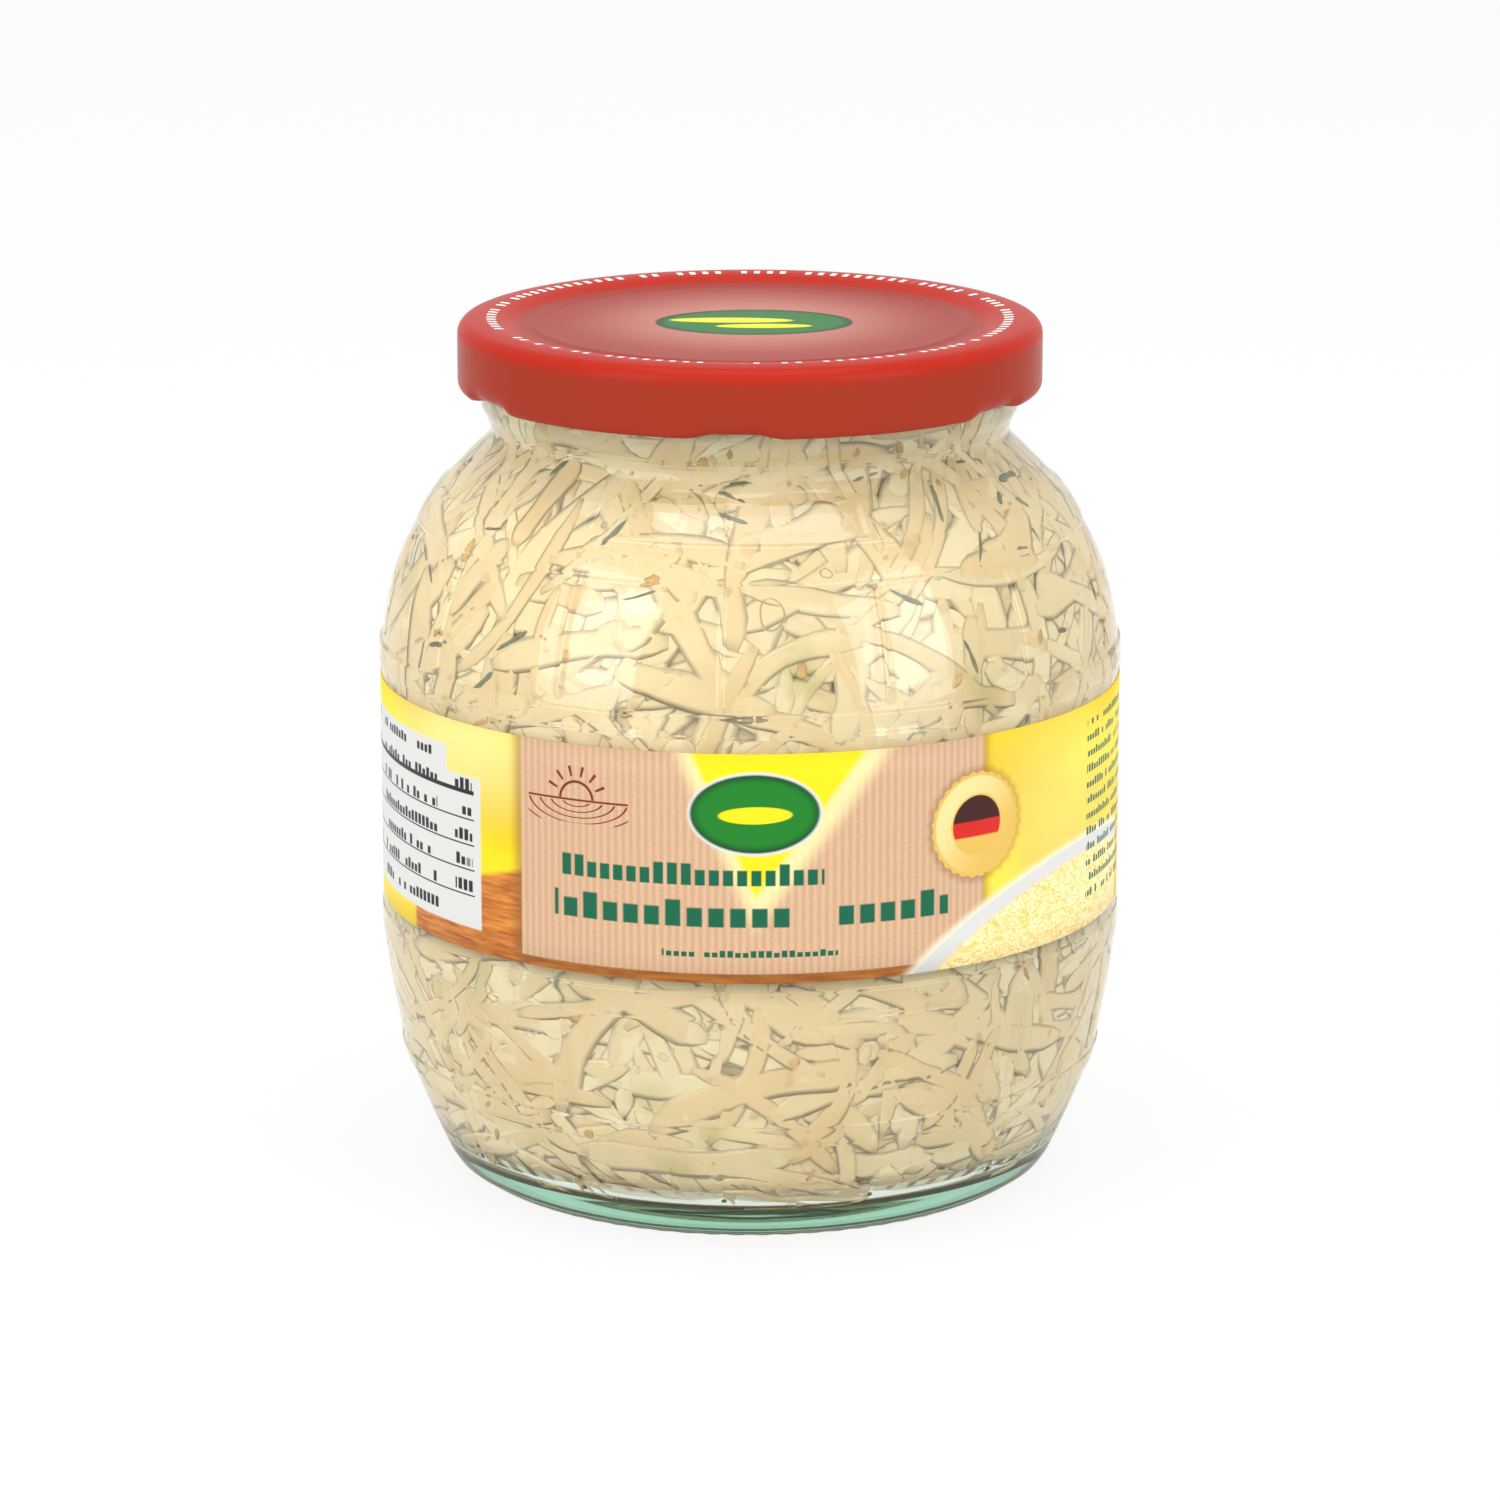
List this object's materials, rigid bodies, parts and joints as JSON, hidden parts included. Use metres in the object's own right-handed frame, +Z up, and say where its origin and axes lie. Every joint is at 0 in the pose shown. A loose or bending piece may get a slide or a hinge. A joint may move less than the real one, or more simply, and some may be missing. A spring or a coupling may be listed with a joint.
{
  "type": "preserving jar of sauerkraut",
  "caption": "Barrel-shaped clear glass jar packed with shredded sauerkraut, closed by a red twist-off lid, with a wrap-round paper label.",
  "frame": {"origin": "centre of the jar's foot, on the plane it stands on", "axes": "+Z up along the jar's axis, -Y towards the front of the label, +X to the viewer's right"},
  "size_m": [0.1104, 0.1104, 0.1283],
  "materials": {
    "glass": "clear pressed glass, faint green",
    "lid_lacquer": "gloss red lacquer on tinplate",
    "label_paper": "satin printed paper, stands in as matte plastic",
    "sauerkraut": "moist pale shreds, stands in as matte plastic"
  },
  "bodies": {
    "root": {"glass_jar": "glass", "lid": "lid_lacquer", "label": "label_paper", "sauerkraut": "sauerkraut"}
  },
  "joints": []
}
